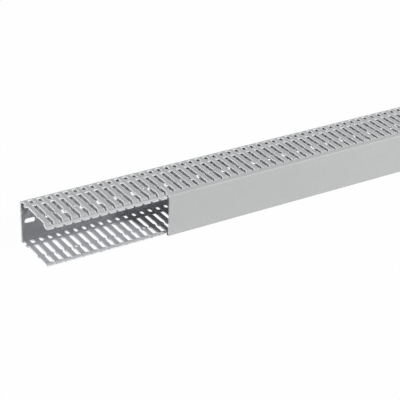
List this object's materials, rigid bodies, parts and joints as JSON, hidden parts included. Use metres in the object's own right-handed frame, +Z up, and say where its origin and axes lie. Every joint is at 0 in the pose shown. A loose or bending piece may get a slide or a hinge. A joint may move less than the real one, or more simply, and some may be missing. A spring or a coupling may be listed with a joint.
{
  "type": "slotted wire duct",
  "caption": "Light grey PVC slotted wire duct, 1 m long, with its clip cover drawn along it to bare the fingers at one end.",
  "frame": {"origin": "middle of the mounting face, which is the outside of the channel's base", "axes": "+X along the duct, +Y out of the mounting face towards the panel it is fixed to, +Z up from the lower slotted wall to the upper one as it lies"},
  "size_m": [1.175, 0.08, 0.06],
  "materials": {
    "channel_pvc": "satin extruded rigid PVC, light grey, with paler punched edges",
    "cover_pvc": "satin extruded rigid PVC, light grey"
  },
  "bodies": {
    "channel": {"slotted_channel": "channel_pvc"},
    "cover": {"snap_cover": "cover_pvc"}
  },
  "joints": [
    {"name": "cover_slide", "type": "slide", "parent": "channel", "child": "cover", "axis": [1, 0, 0], "range_m": [-0.175, 0.325]}
  ]
}
